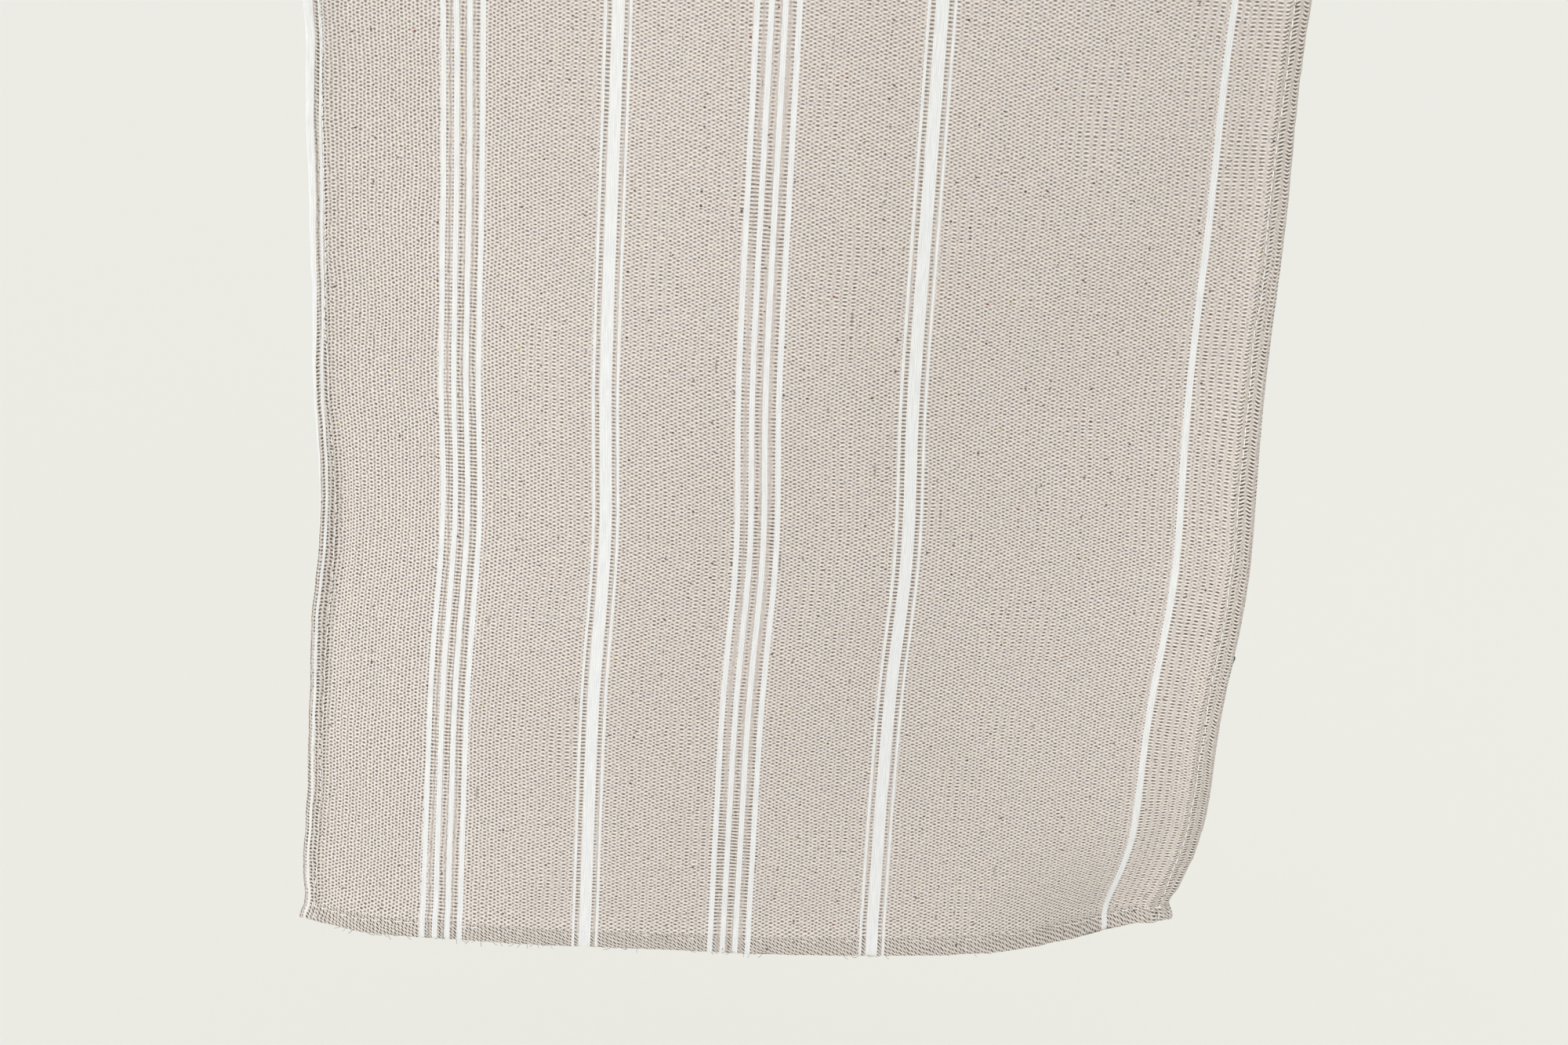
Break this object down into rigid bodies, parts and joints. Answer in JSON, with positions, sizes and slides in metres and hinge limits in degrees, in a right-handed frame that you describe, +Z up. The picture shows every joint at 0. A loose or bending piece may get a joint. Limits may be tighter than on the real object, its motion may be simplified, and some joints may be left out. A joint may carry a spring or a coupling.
{
  "type": "table runner",
  "caption": "Striped woven cotton table runner with narrow stitched hems, draped over a table so that both ends hang in soft waves, with a small blank tape label behind one hem.",
  "frame": {"origin": "middle of the runner's underside where it lies on the table top, in the plane of the table top", "axes": "+X across the runner's width, +Y along its length from the front drop to the rear drop, +Z up"},
  "size_m": [0.3301, 1.0343, 0.4174],
  "materials": {
    "striped_cloth": "coarse plain weave of undyed beige mélange cotton with lengthwise white stripes",
    "hem_cloth": "the same cloth folded double and stitched down",
    "sewing_thread": "white lockstitched cotton thread",
    "label_tape": "blank dark woven tape"
  },
  "bodies": {
    "table_part": {"table_panel": "striped_cloth", "table_left_hem": "hem_cloth", "table_left_seam_thread": "sewing_thread", "table_right_hem": "hem_cloth", "table_right_seam_thread": "sewing_thread"},
    "front_drop": {"front_panel": "striped_cloth", "front_left_hem": "hem_cloth", "front_left_seam_thread": "sewing_thread", "front_right_hem": "hem_cloth", "front_right_seam_thread": "sewing_thread", "front_end_hem": "hem_cloth", "front_end_seam_thread": "sewing_thread"},
    "rear_drop": {"rear_panel": "striped_cloth", "rear_left_hem": "hem_cloth", "rear_left_seam_thread": "sewing_thread", "rear_right_hem": "hem_cloth", "rear_right_seam_thread": "sewing_thread", "rear_end_hem": "hem_cloth", "rear_end_seam_thread": "sewing_thread"},
    "label_flap": {"label": "label_tape", "label_seam_thread": "sewing_thread"}
  },
  "joints": [
    {"name": "front_drop_swing", "type": "hinge", "parent": "table_part", "child": "front_drop", "pos_m": [0, -0.5, 0], "axis": [-1, 0, 0], "range_deg": [0, 90]},
    {"name": "rear_drop_swing", "type": "hinge", "parent": "table_part", "child": "rear_drop", "pos_m": [0, 0.5, 0], "axis": [1, 0, 0], "range_deg": [0, 90]},
    {"name": "label_lift", "type": "hinge", "parent": "front_drop", "child": "label_flap", "pos_m": [0.15771, -0.50381, -0.28911], "axis": [0.9253, -0.3177, -0.2071], "range_deg": [0, 120]}
  ]
}
